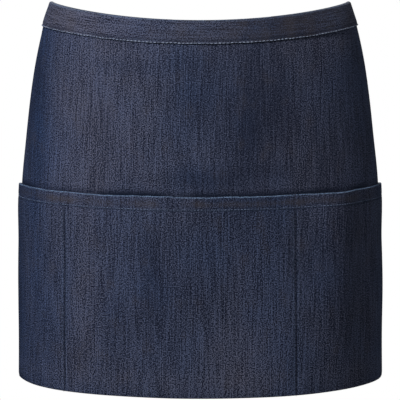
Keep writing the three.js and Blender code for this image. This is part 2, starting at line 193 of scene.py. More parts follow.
def on_form(along, down, off):
    """Points of the cloth, and the way out of its face at each."""
    along, down, off = np.broadcast_arrays(along, down, off)
    drop = down / APRON_LENGTH
    angle = angle_after(along + TURN + held_back(along, down), down)
    a = HIP_BREADTH / 2 * table_value(BREADTH, drop)
    b = HIP_DEPTH / 2 * table_value(DEPTH, drop)
    out_x, out_y = np.sin(angle) / a, -np.cos(angle) / b
    size = np.hypot(out_x, out_y)
    out_x, out_y = out_x / size, out_y / size
    lift = off + fold_at(along, down)
    points = np.stack(
        [
            a * np.sin(angle) + out_x * lift,
            -b * np.cos(angle) + out_y * lift,
            SIDE_EDGE_Z - down - dip_at(angle, drop),
        ],
        axis=-1,
    )
    return points, np.stack([out_x, out_y, np.zeros_like(out_x)], axis=-1)


# Body cloth
# One layer of dark indigo denim, its warp upright, with a narrow hem turned in down
# each side edge. Its top edge is caught inside the waistband.

CLOTH = 0.0010
LAY = 0.0003
SIDE_HEM = 0.009
SIDE_STITCH_IN = 0.0018
SEAM_GROOVE = 0.00022
CORNER_RADIUS = 0.006
BODY_TOP = 2 * LAY + CLOTH
MOUTH_AT = 0.163
BODY_COLUMN = 0.0026
BODY_ROW = 0.0026
HIDDEN_ROW = 0.006

WARP_DARK = (0.0040, 0.0060, 0.0160, 1)
WARP_BLUE = (0.040, 0.069, 0.150, 1)
WARP_GREY = (0.090, 0.092, 0.132, 1)
WORN_BLUE = (0.128, 0.190, 0.295, 1)
WORN_BROWN = (0.052, 0.044, 0.046, 1)
REVERSE_TINT = (0.120, 0.135, 0.185, 1)
SHADE_AND_SEAM_NAVY = (0.0030, 0.0060, 0.0160, 1)


class Value:
    """A number that varies over a surface. Its operators add Math nodes."""

    def __init__(self, tree, socket):
        self.tree = tree
        self.socket = socket

    def maths(self, operation, *terms):
        node = self.tree.nodes.new("ShaderNodeMath")
        node.operation = operation
        for slot, term in zip(node.inputs, terms):
            if isinstance(term, Value):
                self.tree.links.new(term.socket, slot)
            else:
                slot.default_value = term
        return Value(self.tree, node.outputs[0])

    def __add__(self, other):
        return self.maths("ADD", self, other)

    def __sub__(self, other):
        return self.maths("SUBTRACT", self, other)

    def __rsub__(self, other):
        return self.maths("SUBTRACT", other, self)

    def __mul__(self, other):
        return self.maths("MULTIPLY", self, other)

    def clamped(self):
        return self.maths("MINIMUM", self.maths("MAXIMUM", self, 0.0), 1.0)

    __radd__ = __add__
    __rmul__ = __mul__


class Nodes:
    """A tree that is made node by node. Its prefix starts the name of each type."""

    def __init__(self, tree, prefix):
        self.tree = tree
        self.prefix = prefix
        tree.nodes.clear()

    def node(self, kind, settings=None, sockets=None):
        """A node of a type, with its settings first and then its sockets."""
        made = self.tree.nodes.new(self.prefix + kind)
        for name, setting in (settings or {}).items():
            setattr(made, name, setting)
        for name, given in (sockets or {}).items():
            slot = next(
                s for s in made.inputs if name in (s.identifier, s.name) and s.enabled
            )
            if isinstance(given, Value):
                given = given.socket
            if isinstance(given, bpy.types.NodeSocket):
                self.tree.links.new(given, slot)
            else:
                slot.default_value = given
        return made


class Finish(Nodes):
    """A material, with the nodes that cloth and thread share."""

    def __init__(self, name):
        self.material = bpy.data.materials.new(name)
        self.material.use_nodes = True
        super().__init__(self.material.node_tree, "ShaderNode")

    def value(self, node, output=0):
        return Value(self.tree, node.outputs[output])

    def attribute(self, name):
        node = self.node("Attribute", {"attribute_name": name})
        return Value(self.tree, node.outputs["Fac"])

    def noise(self, vector, scale, detail=2.0, roughness=0.5):
        """Noise about 0, from about -0.5 to 0.5, with its own pitch in each direction."""
        spread = self.node("Mapping", sockets={"Vector": vector, "Scale": scale})
        sockets = {"Vector": spread.outputs[0], "Scale": 1.0}
        sockets.update({"Detail": detail, "Roughness": roughness})
        return self.value(self.node("TexNoise", {"noise_dimensions": "2D"}, sockets)) - 0.5

    def mix(self, factor, first, second):
        node = self.node(
            "Mix",
            {"data_type": "RGBA"},
            {"Factor_Float": factor, "A_Color": first, "B_Color": second},
        )
        return next(s for s in node.outputs if s.identifier == "Result_Color")

    def surface(self, colour, roughness, specular, height, strength, distance):
        """A matt surface with a bump, at the material's output."""
        bump = self.node(
            "Bump", sockets={"Strength": strength, "Distance": distance, "Height": height}
        )
        shader = self.node(
            "BsdfPrincipled",
            sockets={
                "Base Color": colour,
                "Roughness": roughness,
                "Specular IOR Level": specular,
                "Normal": bump.outputs[0],
            },
        )
        self.node("OutputMaterial", sockets={"Surface": shader.outputs[0]})
        return self.material


# The weave in metres: width and length of ribs, slubs, long slubs, flecks and wales,
# and how far each yarn's noise is moved on from the one beside it
RIB = (0.00085, 0.034)
SLUB = (0.00100, 0.008)
LONG_SLUB = (0.0024, 0.090)
FLECK = (0.00105, 0.00110)
WALE = (0.0034, 0.0011)
YARN_STAGGER = 0.38
TWILL_SLOPE = 1.05
TWILL_PITCH = 0.0011
TWILL_RISE = 0.7
TWILL_BUMP = 0.00035

# How light the dye is on the whole, and how far the weave, wear with painted light and shade, and
# clouds change it
DYE_TONE = 0.387
WEAVE_CONTRAST = 0.79
FADE_AND_LIGHT_CONTRAST = 2.2
CLOUD_CONTRAST = 0.30
BLUE_SHARE = 0.42


def denim(name, upright, seed):
    """Denim whose warp runs down the cloth, or along it where it isn't upright."""
    finish = Finish(name)
    uv = finish.node("UVMap", {"uv_map": "cloth"}).outputs[0]
    shifted = finish.node(
        "Mapping", sockets={"Vector": uv, "Location": (seed, 2 * seed, 0)}
    ).outputs[0]

    place = finish.node("SeparateXYZ", sockets={"Vector": shifted})
    cross, run = (finish.value(place, i) for i in ((0, 1) if upright else (1, 0)))

    def yarns(width, length, detail=2.0, roughness=0.5):
        """Noise drawn out along the warp, each yarn further on than the one beside it."""
        yarn = cross * (1 / width)
        staggered = finish.node(
            "CombineXYZ", sockets={"X": yarn, "Y": run * (1 / length) + yarn * YARN_STAGGER}
        )
        return finish.noise(staggered.outputs[0], (1, 1, 1), detail, roughness)

    ribs = yarns(*RIB, 0.0)
    slubs = yarns(*SLUB, 1.0, 0.6)
    long_slubs = yarns(*LONG_SLUB, 1.0)
    heather = finish.noise(shifted, (1 / FLECK[0], 1 / FLECK[1], 1), 1.0, 0.6)
    slope = TWILL_SLOPE if upright else -TWILL_SLOPE
    slanted = finish.node("Mapping", sockets={"Vector": shifted, "Rotation": (0, 0, slope)})
    wales = finish.noise(slanted.outputs[0], (1 / WALE[0], 1 / WALE[1], 1), 1.0)
    cloud = finish.noise(shifted, (22, 16, 1), 2.0)
    # The fade attribute lightens or darkens the dye: fading from wear, and painted light and shade
    fade = finish.attribute("fade")
    weave = ribs * 1.4 + slubs * 0.4 + long_slubs * 0.3 + heather * 4.4 + wales * 0.4
    contrast = WEAVE_CONTRAST + fade * FADE_AND_LIGHT_CONTRAST
    tone = DYE_TONE + weave * contrast + cloud * CLOUD_CONTRAST + fade
    blueness = BLUE_SHARE + cloud * 0.6 + ribs * 0.1 - heather * 0.7 - fade * 1.4
    blueness = blueness + finish.attribute("blue")
    light = finish.mix(blueness.clamped(), WARP_GREY, WARP_BLUE)
    colour = finish.mix(tone.clamped(), WARP_DARK, light)

    brown = finish.noise(shifted, (60, 45, 1), 2.0) + finish.attribute("brown")
    browned = finish.mix((brown * 1.2 - 0.10).clamped() * 0.6, colour, WORN_BROWN)
    patchy = (0.75 + heather * 2.0 + slubs * 1.2) * finish.attribute("wear")
    worn = finish.mix(patchy.clamped(), browned, WORN_BLUE)
    turned = finish.mix(finish.attribute("reverse") * (0.62 + heather), worn, REVERSE_TINT)
    # The shade attribute mixes in painted shade, and the dark of the seams
    shaded = finish.mix(finish.attribute("shade").clamped(), turned, SHADE_AND_SEAM_NAVY)

    turns = 2 * np.pi / TWILL_PITCH
    climb = turns * (TWILL_RISE if upright else -TWILL_RISE)
    parts = finish.node("SeparateXYZ", sockets={"Vector": uv})
    phase = finish.value(parts, 0) * turns + finish.value(parts, 1) * climb
    height = phase.maths("SINE", phase) * 0.3 + heather * 2.2 + slubs * 1.2
    return finish.surface(shaded, 0.88 + heather * 0.2, 0.10, height, 0.55, TWILL_BUMP)


def cloth_mesh(name, points, faces, cloth_uv, material, **attributes):
    """A mesh with a cloth UV map in metres and a number at each point for each
    attribute that the denim reads."""
    mesh = bpy.data.meshes.new(name)
    mesh.from_pydata(points.tolist(), [], faces)
    corners = np.empty(len(mesh.loops), dtype=np.int32)
    mesh.loops.foreach_get("vertex_index", corners)
    uv = mesh.uv_layers.new(name="cloth")
    uv.data.foreach_set("uv", cloth_uv[corners].astype(np.float32).ravel())
    for key in ("fade", "blue", "wear", "shade", "brown", "reverse"):
        numbers = np.broadcast_to(attributes.get(key, 0.0), len(points))
        layer = mesh.attributes.new(key, "FLOAT", "POINT")
        layer.data.foreach_set("value", numbers.astype(np.float32))
    mesh.materials.append(material)
    mesh.shade_smooth()
    piece = bpy.data.objects.new(name, mesh)
    bpy.context.scene.collection.objects.link(piece)
    turn_outwards(piece)
    return piece


def turn_outwards(piece):
    """Turns a closed mesh so that its faces point out."""
    shape = bmesh.new()
    shape.from_mesh(piece.data)
    if shape.calc_volume(signed=True) < 0:
        bmesh.ops.reverse_faces(shape, faces=shape.faces)
    shape.to_mesh(piece.data)
    shape.free()


def grid_faces(rows, columns, offset=0):
    """Quads over a grid of points that are numbered row by row."""
    i, j = np.meshgrid(np.arange(rows - 1), np.arange(columns - 1), indexing="ij")
    first = (offset + i * columns + j).ravel()
    return np.stack([first, first + columns, first + columns + 1, first + 1], axis=1)


def shell(name, along, down, outer, inner, material, **attributes):
    """A closed shell of cloth over a grid of lengths along and down. Gives the piece,
    and the points and outward ways of its outer face for the stitches on it."""
    rows, columns = down.shape
    count = rows * columns
    outer_points, outward = on_form(along, down, outer)
    inner_points, _ = on_form(along, down, inner)
    front = grid_faces(rows, columns)
    back = grid_faces(rows, columns, count)[:, ::-1]
    rim = np.concatenate(
        [
            np.arange(columns),
            np.arange(2, rows + 1) * columns - 1,
            np.arange(count - 2, count - columns - 1, -1),
            np.arange(rows - 2, 0, -1) * columns,
        ]
    )
    ahead = np.roll(rim, -1)
    edge = np.stack([rim, ahead, ahead + count, rim + count], axis=1)
    points = np.concatenate([outer_points.reshape(-1, 3), inner_points.reshape(-1, 3)])
    place = np.stack([np.broadcast_to(along, down.shape), down], axis=-1).reshape(-1, 2)
    spread = {
        key: np.concatenate([np.broadcast_to(v, down.shape).ravel()] * 2)
        for key, v in attributes.items()
    }
    spread["reverse"] = np.repeat([0.0, 1.0], count)
    faces = np.concatenate([front, back, edge]).tolist()
    piece = cloth_mesh(name, points, faces, np.tile(place, (2, 1)), material, **spread)
    return piece, outer_points, outward


def spaced(*stretches):
    """Places from stretches of (start, end, longest step), joined end to end."""
    places = [np.array([stretches[0][0]])]
    for start, end, step in stretches:
        steps = max(1, int(np.ceil(abs(end - start) / step)))
        places.append(np.linspace(start, end, steps + 1)[1:])
    return np.concatenate(places)


def both_sides(outwards):
    """Places along the cloth from its middle outwards, mirrored to both sides."""
    return np.concatenate([-outwards[:0:-1], outwards])


def rounded(distance, radius):
    """Share of a cloth's thickness near an edge, 0 at the edge."""
    x = np.clip(distance / radius, 0, 1)
    return np.sqrt(1 - (1 - x) ** 2)


def lower_edge(along):
    """How far down the cloth's lower edge is, with its rounded corners."""
    aside = CORNER_RADIUS - np.clip(APRON_WIDTH / 2 - np.abs(along), 0, CORNER_RADIUS)
    return APRON_LENGTH - CORNER_RADIUS + np.sqrt(CORNER_RADIUS**2 - aside**2)


def settled_rows(rows, along):
    """Rows down the cloth, drawn up at the corners to follow the lower edge."""
    share = ease((rows - MOUTH_AT) / (APRON_LENGTH - MOUTH_AT))[:, None]
    return rows[:, None] + share * (lower_edge(along) - APRON_LENGTH)[None, :]


HALF = APRON_WIDTH / 2
EDGE_ROUND = 0.0005
body_along = both_sides(
    spaced(
        (0, HALF - SIDE_HEM - 0.0015, BODY_COLUMN),
        (HALF - SIDE_HEM - 0.0015, HALF - SIDE_HEM + 0.0015, 0.0005),
        (HALF - SIDE_HEM + 0.0015, HALF - 0.0012, 0.0015),
        (HALF - 0.0012, HALF, 0.0003),
    )
)
body_rows = spaced(
    (BODY_TOP, MOUTH_AT + 0.012, BODY_ROW),
    (MOUTH_AT + 0.012, APRON_LENGTH - 0.001, HIDDEN_ROW),
    (APRON_LENGTH - 0.001, APRON_LENGTH, 0.00025),
)
body_down = settled_rows(body_rows, body_along)

# Dents in the body cloth: place along and down, reach along and down, height
DENTS = (
    (-0.083, 0.048, 0.050, 0.006, -0.0005),
    (-0.030, 0.045, 0.045, 0.005, -0.0005),
    (-0.020, 0.152, 0.055, 0.010, -0.0008),
    (0.075, 0.146, 0.040, 0.012, -0.0011),
    (0.096, 0.130, 0.018, 0.020, 0.0008),
)

# Where the cloth is lighter or darker: dye faded more or less in wear, and painted
# light and shade where the lamps leave the form too light or too dark; place along and
# down, reach along and down, and how much lighter
FADE_AND_LIGHT_PATCHES = (
    (-0.108, 0.110, 0.048, 0.150, 0.10),
    (-0.035, 0.100, 0.045, 0.080, 0.06),
    (-0.045, 0.046, 0.060, 0.012, -0.07),
    (-0.078, 0.055, 0.030, 0.060, 0.06),
    (-0.142, 0.140, 0.022, 0.220, -0.09),
    (-0.086, 0.245, 0.022, 0.120, 0.11),
    (-0.190, 0.265, 0.042, 0.200, -0.20),
    (-0.178, 0.125, 0.016, 0.045, 0.10),
    (0.168, 0.030, 0.040, 0.022, 0.09),
    (-0.165, 0.080, 0.042, 0.130, -0.17),
    (0.012, 0.078, 0.040, 0.050, -0.12),
    (0.062, 0.108, 0.016, 0.040, -0.07),
    (0.012, 0.038, 0.036, 0.020, -0.10),
    (0.097, 0.078, 0.022, 0.050, -0.06),
    (0.070, 0.080, 0.062, 0.150, -0.20),
    (0.130, 0.090, 0.040, 0.120, -0.07),
    (0.020, 0.148, 0.052, 0.020, -0.17),
    (0.078, 0.150, 0.045, 0.026, -0.06),
    (-0.018, 0.240, 0.030, 0.080, -0.15),
    (-0.052, 0.270, 0.016, 0.060, -0.05),
    (0.122, 0.215, 0.026, 0.050, -0.06),
    (0.020, 0.225, 0.034, 0.080, -0.08),
    (0.050, 0.308, 0.056, 0.080, 0.17),
    (0.142, 0.230, 0.030, 0.110, -0.10),
)

# Where the dye is bluer or greyer all the way down: place and reach along, how much bluer
BODY_BLUES = ((-0.150, 0.055, 0.28), (0.090, 0.085, -0.30), (-0.072, 0.050, -0.18))


def patches(table, along, down):
    """The sum of soft patches, which a table places along and down the cloth."""
    total = np.zeros(np.broadcast(along, down).shape)
    for place, level, reach, tall, amount in table:
        total += hump(along - place, reach) * hump(down - level, tall) * amount
    return total


def bands(table, along):
    """The sum of soft upright bands, which a table places along the cloth."""
    return sum(amount * hump(along - place, reach) for place, reach, amount in table)


def uneven(along, middle, swing, spacing, seed):
    """A share between 0 and 1 that comes and goes along the cloth."""
    return np.clip(middle + swing * ripple(along, spacing, seed), 0, 1)


def thickness_at_edges(along, down):
    to_edge = np.minimum(HALF - np.abs(along), lower_edge(along) - down)
    return rounded(to_edge, EDGE_ROUND)


# Flat inside the waistband and flatter behind the pocket cloth
soft = unevenness(body_along, body_down) + patches(DENTS, body_along, body_down)
soft *= ease((body_down - BAND_HEIGHT) / 0.010)
soft *= 1 - 0.8 * ease((body_down - MOUTH_AT - 0.004) / 0.02)
from_side = HALF - np.abs(body_along)
hem_step = ease((SIDE_HEM + 0.0006 - from_side) / 0.0012)
hem_step = hem_step * ease((body_down - BAND_HEIGHT - LAY) / 0.001)
fullness = thickness_at_edges(body_along, body_down)
middle = soft + CLOTH / 2 - hem_step * CLOTH / 2
half_wall = CLOTH / 2 * (1 + hem_step) * (0.25 + 0.75 * fullness)
seam_pull = SEAM_GROOVE * hump(SIDE_HEM - SIDE_STITCH_IN - from_side, 0.0022)

# Painted shade just below the waistband and above the pocket's mouth, where it gapes
above_mouth = MOUTH_AT - body_down
body_shade = 0.12 * hump(body_down - BAND_HEIGHT - 0.0006, 0.0022)
mouth_gape_shade = hump(above_mouth - 0.0010, 0.0048) * uneven(body_along, 0.8, 0.4, 0.020, 27)
body_shade += 0.90 * mouth_gape_shade + 0.30 * hump(above_mouth - 0.004, 0.007) * hump(body_along + 0.035, 0.042)
denim_upright = denim("denim_upright", True, 3.7)
body, body_face, body_outward = shell(
    "body_cloth",
    body_along,
    body_down,
    middle + half_wall - seam_pull,
    middle - half_wall + seam_pull,
    denim_upright,
    fade=patches(FADE_AND_LIGHT_PATCHES, body_along, body_down),
    blue=bands(BODY_BLUES, body_along),
    wear=0.55 * hump(from_side, 0.0018),
    shade=body_shade,
)
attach(body, "root")
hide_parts("body_panel")


class NodeGroup(Nodes):
    """A Geometry Nodes group with named inputs."""

    def __init__(self, name, inputs):
        super().__init__(bpy.data.node_groups.new(name, "GeometryNodeTree"), "")
        face = self.tree.interface
        face.new_socket("Geometry", in_out="INPUT", socket_type="NodeSocketGeometry")
        face.new_socket("Geometry", in_out="OUTPUT", socket_type="NodeSocketGeometry")
        self.identifiers = {}
        for label, (kind, default) in inputs.items():
            made = face.new_socket(label, in_out="INPUT", socket_type="NodeSocket" + kind)
            made.default_value = default
            self.identifiers[label] = made.identifier


def stitch_group():
    """Stitches that lie end to end along a line, one short round thread each."""
    tree = NodeGroup(
        "stitches",
        {
            "Pitch": ("Float", 0.0032),
            "Length": ("Float", 0.0026),
            "Thread": ("Float", 0.0006),
            "Seed": ("Int", 0),
        },
    )
    entry = tree.node("NodeGroupInput").outputs
    curve = tree.node("GeometryNodeMeshToCurve", sockets={"Mesh": entry["Geometry"]})
    points = tree.node(
        "GeometryNodeResampleCurve",
        {"mode": "LENGTH"},
        {"Curve": curve.outputs[0], "Length": entry["Pitch"]},
    )
    thread = tree.node(
        "GeometryNodeMeshUVSphere", sockets={"Segments": 6, "Rings": 5, "Radius": 0.5}
    )
    smooth = tree.node(
        "GeometryNodeSetShadeSmooth", sockets={"Geometry": thread.outputs["Mesh"]}
    )
    tangent = tree.node("GeometryNodeInputTangent")
    turn = tree.node(
        "FunctionNodeAlignRotationToVector",
        {"axis": "X"},
        {"Vector": tangent.outputs[0]},
    )
    vary = tree.node(
        "FunctionNodeRandomValue",
        {"data_type": "FLOAT"},
        {"Min": 0.82, "Max": 1.08, "Seed": entry["Seed"]},
    )
    long = tree.node(
        "ShaderNodeMath",
        {"operation": "MULTIPLY"},
        {"Value": entry["Length"], "Value_001": vary.outputs["Value"]},
    )
    size = tree.node(
        "ShaderNodeCombineXYZ",
        sockets={"X": long.outputs[0], "Y": entry["Thread"], "Z": entry["Thread"]},
    )
    placed = tree.node(
        "GeometryNodeInstanceOnPoints",
        sockets={
            "Points": points.outputs[0],
            "Instance": smooth.outputs[0],
            "Rotation": turn.outputs[0],
            "Scale": size.outputs[0],
        },
    )
    real = tree.node("GeometryNodeRealizeInstances", sockets={"Geometry": placed.outputs[0]})
    painted = tree.node("GeometryNodeSetMaterial", sockets={"Geometry": real.outputs[0]})
    tree.node("NodeGroupOutput", sockets={"Geometry": painted.outputs[0]})
    return tree, painted


stitching, stitch_paint = stitch_group()


def thread_finish(name, dark, light):
    """Matt sewing thread, unevenly worn from stitch to stitch."""
    finish = Finish(name)
    place = finish.node("TexCoord").outputs["Object"]
    spread = finish.node("Mapping", sockets={"Vector": place, "Scale": (220, 220, 260)})
    fine = {"Vector": spread.outputs[0], "Scale": 9.0, "Detail": 1.0}
    worn = finish.value(
        finish.node("TexNoise", sockets={"Vector": spread.outputs[0], "Scale": 1.0})
    )
    ply = finish.value(finish.node("TexNoise", sockets=fine))
    colour = finish.mix((worn * 2.6 - 0.8).clamped(), dark, light)
    return finish.surface(colour, 0.72 + ply * 0.15, 0.3, ply, 0.5, 0.0002)


def stitched(name, lines, material, pitch, length, thread, seed):
    """Rows of stitches along lines of points, as one plain mesh."""
    starts = np.cumsum([0] + [len(line) for line in lines])
    edges = [
        (start + i, start + i + 1)
        for start, line in zip(starts, lines)
        for i in range(len(line) - 1)
    ]
    mesh = bpy.data.meshes.new(name + "_lines")
    mesh.from_pydata(np.concatenate(lines).tolist(), edges, [])
    rows = bpy.data.objects.new(name + "_lines", mesh)
    bpy.context.scene.collection.objects.link(rows)
    stitch_paint.inputs["Material"].default_value = material
    modifier = rows.modifiers.new("stitches", "NODES")
    modifier.node_group = stitching.tree
    chosen = {"Pitch": pitch, "Length": length, "Thread": thread, "Seed": seed}
    for label, number in chosen.items():
        modifier[stitching.identifiers[label]] = number
    finished = bpy.data.meshes.new_from_object(
        rows.evaluated_get(bpy.context.evaluated_depsgraph_get())
    )
    bpy.data.objects.remove(rows)
    finished.name = name
    piece = bpy.data.objects.new(name, finished)
    bpy.context.scene.collection.objects.link(piece)
    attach(piece, "root")
    return piece


def nearest(places, place):
    """The number of the place that lies nearest to a given one."""
    return int(np.argmin(np.abs(places - place)))


def line_down(face, outward, column, first, last, lift):
    """A line down the face of a cloth grid along one of its columns."""
    return face[first:last, column] + lift * outward[first:last, column]


NAVY_THREAD_DARK = (0.010, 0.012, 0.028, 1)
NAVY_THREAD_LIGHT = (0.045, 0.052, 0.090, 1)
navy_thread = thread_finish("navy_thread", NAVY_THREAD_DARK, NAVY_THREAD_LIGHT)
side_line_at = HALF - SIDE_HEM + SIDE_STITCH_IN
below_band = int(np.searchsorted(body_rows, BAND_HEIGHT + 0.003))
side_lines = [
    line_down(body_face, body_outward, nearest(body_along, x), below_band, len(body_rows) - 4, 0.00012)
    for x in (-side_line_at, side_line_at)
]
stitched("side_stitches", side_lines, navy_thread, 0.0031, 0.0026, 0.00055, 1)


# Pocket cloth
# A second layer over the lower half, sewn round three sides and turned out, with a
# hem turned inside along the mouth. Two upright seams divide it into three pockets.

POCKET_DEPTH = APRON_LENGTH - MOUTH_AT
SEAM_AT = 0.106
MOUTH_HEM = 0.011
POCKET_SLACK = 0.0075
SLACK_POWER = 2.2
HEM_SETTLES = 0.043
SEAM_TURN = 0.004
SEAM_PUFF = 0.0004
MOUTHS = ((-0.2574, 0.0515, 1.0), (0.0, 0.099, 1.0), (0.1485, 0.0363, 1.0))
POCKET_COLUMN = 0.0022
POCKET_ROW = 0.0024
PUCKER_RELIEF = 0.00012
HEM_GROOVE = 0.00030
SEAM_PUCKERS = 0.00022
SEAM_DIP = 0.00045
MOUTH_WAVE = 0.00035
MOUTH_RIPPLE = 0.00020
MOUTH_LIFT = 0.0006
POCKET_BLUES = ((-0.145, 0.050, 0.18), (0.060, 0.070, 0.14), (0.170, 0.070, -0.16))


def pocket_outer(along, down):
    """How far the pocket cloth's face is off the form."""
    depth = down - MOUTH_AT
    hem_layer = (CLOTH + LAY) * (1 - ease((depth - MOUTH_HEM) / HEM_SETTLES))
    share = 1 - np.clip(depth / POCKET_DEPTH, 0, 1) ** SLACK_POWER
    slack = bands(MOUTHS, along)
    to_edge = np.minimum(HALF - np.abs(along), APRON_LENGTH - down)
    to_seam = np.abs(np.abs(along) - SEAM_AT)
    puff = ease(to_edge / SEAM_TURN) * ease(to_seam / (2 * SEAM_TURN)) * SEAM_PUFF
    return 2 * CLOTH + LAY + hem_layer + puff + slack * share * POCKET_SLACK


pocket_along = both_sides(
    spaced(
        (0, SEAM_AT - 0.004, POCKET_COLUMN),
        (SEAM_AT - 0.004, SEAM_AT + 0.004, 0.0008),
        (SEAM_AT + 0.004, HALF - 0.0012, POCKET_COLUMN),
        (HALF - 0.0012, HALF, 0.0003),
    )
)
pocket_rows = spaced(
    (MOUTH_AT, MOUTH_AT + 0.0012, 0.0003),
    (MOUTH_AT + 0.0012, MOUTH_AT + MOUTH_HEM - 0.002, 0.0013),
    (MOUTH_AT + MOUTH_HEM - 0.002, MOUTH_AT + MOUTH_HEM + 0.003, 0.0006),
    (MOUTH_AT + MOUTH_HEM + 0.003, APRON_LENGTH - 0.001, POCKET_ROW),
    (APRON_LENGTH - 0.001, APRON_LENGTH, 0.00025),
)
pocket_down = settled_rows(pocket_rows, pocket_along)

depth = pocket_down - MOUTH_AT
to_seam = np.abs(np.abs(pocket_along) - SEAM_AT)
puckers = ripple(pocket_along, 0.0042, 21)
hem_groove = hump(depth - MOUTH_HEM - 0.0002, 0.0026)
hem_body = ease((MOUTH_HEM + 0.004 - depth) / 0.004)
seam_puckers = ripple(pocket_down, 0.0050, 22) * hump(to_seam, 0.009)
relief = unevenness(pocket_along, pocket_down) * ease(depth / 0.03) * 0.9
relief += PUCKER_RELIEF * puckers * hem_body - HEM_GROOVE * hem_groove * (1 + 0.5 * puckers)
relief += SEAM_PUCKERS * seam_puckers * ease((depth - MOUTH_HEM) / 0.01)
relief -= SEAM_DIP * hump(to_seam, 0.0016)
relief *= ease((lower_edge(pocket_along) - pocket_down) / 0.004)

hemmed = 1 - ease((depth - MOUTH_HEM - 0.0004) / 0.0012)
wall = CLOTH * (1 + hemmed) / 2
mouth_round = rounded(depth, 0.0010)
edge_round = thickness_at_edges(pocket_along, pocket_down)
half_pocket_wall = wall * (0.2 + 0.8 * np.minimum(mouth_round, edge_round))
pocket_middle = pocket_outer(pocket_along, pocket_down) - wall + relief
mouth_wave = MOUTH_WAVE * ripple(pocket_along, 0.021, 23)
mouth_wave += MOUTH_RIPPLE * ripple(pocket_along, 0.0046, 24)
mouth_wave -= MOUTH_LIFT * hump(pocket_along + 0.025, 0.060)
pocket_down = pocket_down + mouth_wave * (1 - ease(depth / 0.010))

# Worn pale along the mouth, its stitches and the seams, and brown on the hem. Painted
# shade in the seams' grooves over their own dark, and below the hem; darker at the lower edge
patch = uneven(pocket_along, 0.6, 0.6, 0.006, 25)
broad_patch = uneven(pocket_along, 0.75, 0.5, 0.028, 26)
pocket_wear = 1.15 * hump(depth - 0.0001, 0.0012) * (0.45 + 0.55 * patch * broad_patch)
pocket_wear += 0.15 * hump(depth - MOUTH_HEM - 0.0006, 0.0013) * patch
pocket_wear += 0.10 * hump(to_seam - 0.0022, 0.0012) * ease((depth - 0.012) / 0.01)
# Painted shade in the seam grooves and below the hem
pocket_shade = hump(to_seam, 0.0017) * ease((depth - MOUTH_HEM) / 0.004)
pocket_shade *= 0.85 + 0.35 * ripple(pocket_down, 0.011, 28)
pocket_shade += 0.70 * hump(depth - MOUTH_HEM - 0.0012, 0.0015) * (0.4 + 0.6 * patch)
pocket_shade += 0.50 * hump(lower_edge(pocket_along) - pocket_down, 0.0010)
pocket_brown = hump(depth - 0.0065, 0.0055) * (0.55 * broad_patch + 0.35 * hump(to_seam, 0.030))
# Fades on the pocket cloth, with painted light and shade
pocket_fade = patches(FADE_AND_LIGHT_PATCHES, pocket_along, pocket_down)
pocket_fade += 0.06 * hump(pocket_down - 0.322, 0.014) - 0.05 * hump(depth - 0.006, 0.006)
pocket, pocket_face, pocket_outward = shell(
    "pocket_cloth",
    pocket_along,
    pocket_down,
    pocket_middle + half_pocket_wall,
    pocket_middle - half_pocket_wall,
    denim_upright,
    fade=pocket_fade,
    blue=bands(POCKET_BLUES, pocket_along),
    wear=pocket_wear,
    shade=pocket_shade,
    brown=pocket_brown,
)
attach(pocket, "root")
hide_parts("pocket_panel")


GREY_THREAD_DARK = (0.055, 0.065, 0.100, 1)
GREY_THREAD_LIGHT = (0.255, 0.295, 0.390, 1)
FADED_THREAD_DARK = (0.036, 0.047, 0.085, 1)
FADED_THREAD_LIGHT = (0.130, 0.165, 0.255, 1)
grey_thread = thread_finish("grey_blue_thread", GREY_THREAD_DARK, GREY_THREAD_LIGHT)
faded_thread = thread_finish("faded_thread", FADED_THREAD_DARK, FADED_THREAD_LIGHT)
hem_row = nearest(pocket_rows, MOUTH_AT + MOUTH_HEM)
hem_line = (pocket_face[hem_row] + 0.00010 * pocket_outward[hem_row])[3:-3]
stitched("mouth_stitches", [hem_line], faded_thread, 0.0030, 0.0025, 0.0006, 2)
seam_lines = [
    line_down(pocket_face, pocket_outward, nearest(pocket_along, x), 2, len(pocket_rows) - 3, 0.00008)
    for x in (-SEAM_AT, SEAM_AT)
]
stitched("seam_stitches", seam_lines, navy_thread, 0.0031, 0.0026, 0.0006, 3)


# Waistband
# A strip cut along the warp, folded over the top edge of the body cloth and sewn
# through near its lower edges, so its streaks run round the waist.

BAND_OUTER = 2 * CLOTH + LAY
BAND_INNER = -LAY - CLOTH
BAND_FOLD = CLOTH + LAY
BAND_OVERRUN = 0.0015
BAND_COLUMN = 0.0020
BAND_STITCH_UP = 0.0006
BAND_PUCKERS = 0.00010
BAND_GROOVE = 0.00022
BAND_ROLL = 0.00022
BAND_EDGE_WAVE = 0.00022
BAND_END_LIFT = 0.030
BAND_FADES_AND_LIGHT = ((-0.120, 0.120, 0.20), (0.092, 0.080, -0.22), (0.190, 0.060, 0.24))

band_middle = (BAND_OUTER + BAND_INNER) / 2
band_half = (BAND_OUTER - BAND_INNER) / 2
fold_angles = np.linspace(0, np.pi, 11)
outside = spaced(
    (BAND_HEIGHT - 0.0002, BAND_HEIGHT - 0.0036, 0.0005),
    (BAND_HEIGHT - 0.0036, BAND_FOLD, 0.0015),
)[:-1]
inside = outside[::-1]
hollow = spaced((BAND_FOLD, BAND_HEIGHT - 0.0003, 0.006))
fold_over = BAND_FOLD * (1 - np.sin(fold_angles))
rim = [BAND_HEIGHT]
band_down = np.concatenate([outside, fold_over, inside, rim, hollow[::-1], hollow, rim])
band_off = np.concatenate(
    [
        np.full(len(outside), BAND_OUTER),
        band_middle + band_half * np.cos(fold_angles),
        np.full(len(inside), BAND_INNER),
        [(BAND_INNER - LAY) / 2],
        np.full(len(hollow), -LAY),
        np.full(len(hollow), CLOTH + LAY),
        [(BAND_OUTER + CLOTH + LAY) / 2],
    ]
)
band_side = np.sign(band_off - CLOTH / 2)
stride = np.hypot(
    np.diff(band_down, prepend=band_down[0]), np.diff(band_off, prepend=band_off[0])
)
around = np.cumsum(stride)
